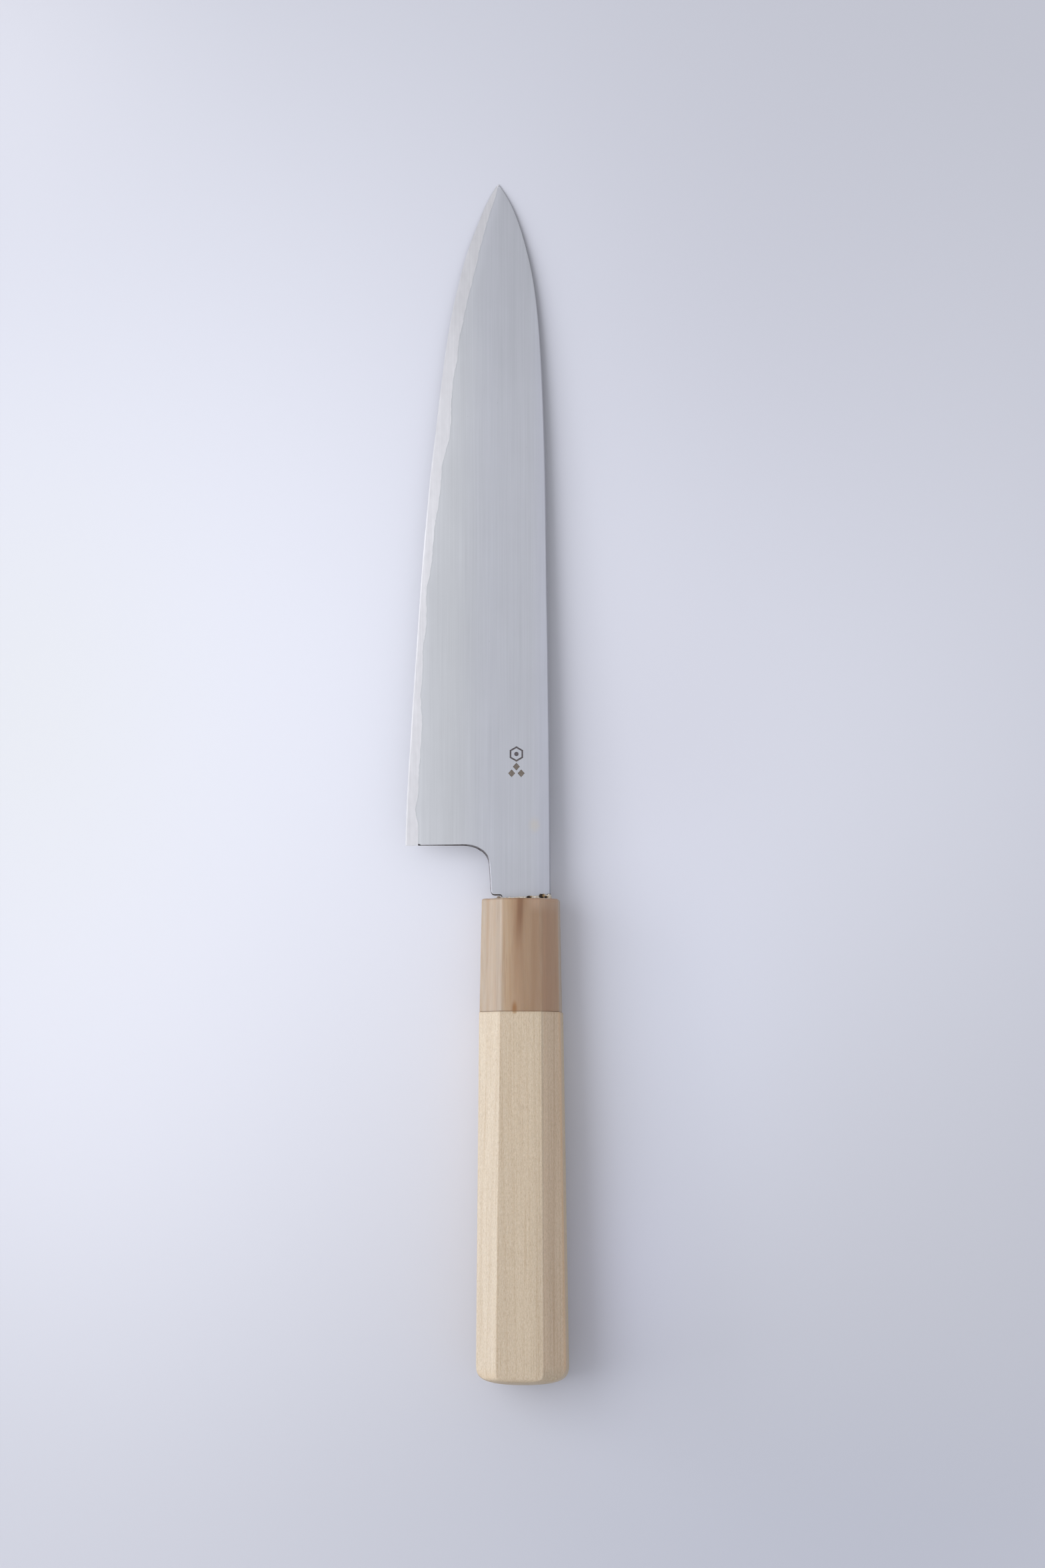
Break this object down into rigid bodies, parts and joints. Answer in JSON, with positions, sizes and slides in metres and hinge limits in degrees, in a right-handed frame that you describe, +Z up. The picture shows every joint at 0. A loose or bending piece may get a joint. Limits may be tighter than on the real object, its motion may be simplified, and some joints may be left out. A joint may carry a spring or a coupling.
{
  "type": "chef knife",
  "caption": "Japanese pattern chef knife: a thin laminated blade on a hidden tang in an octagonal wooden handle with a horn collar, lying on its side.",
  "frame": {"origin": "middle of the knife's footprint, on the table that it lies on", "axes": "+Z up from the table; +Y along the knife towards the tip; -X towards the cutting edge; the left face of the blade is up. The knife lies as it comes to rest: on the ferrule's lower front edge and on its tip, 2.64 degrees tip down"},
  "size_m": [0.0454, 0.333, 0.0261],
  "materials": {
    "core_steel": "fine satin, slightly warm",
    "cladding_steel": "satin, brushed lengthwise, slightly blue",
    "horn": "polished blond horn with soft lengthwise streaks",
    "handle_wood": "bare, finely sanded pale wood",
    "resin": "hard brown resin",
    "seal_bead": "dried crumbly adhesive"
  },
  "bodies": {
    "root": {"blade_core_steel": "core_steel", "blade_cladding_left": "cladding_steel", "blade_cladding_right": "cladding_steel", "horn_ferrule": "horn", "handle_body": "handle_wood", "tang_bedding": "resin", "mouth_seal": "seal_bead"}
  },
  "joints": []
}
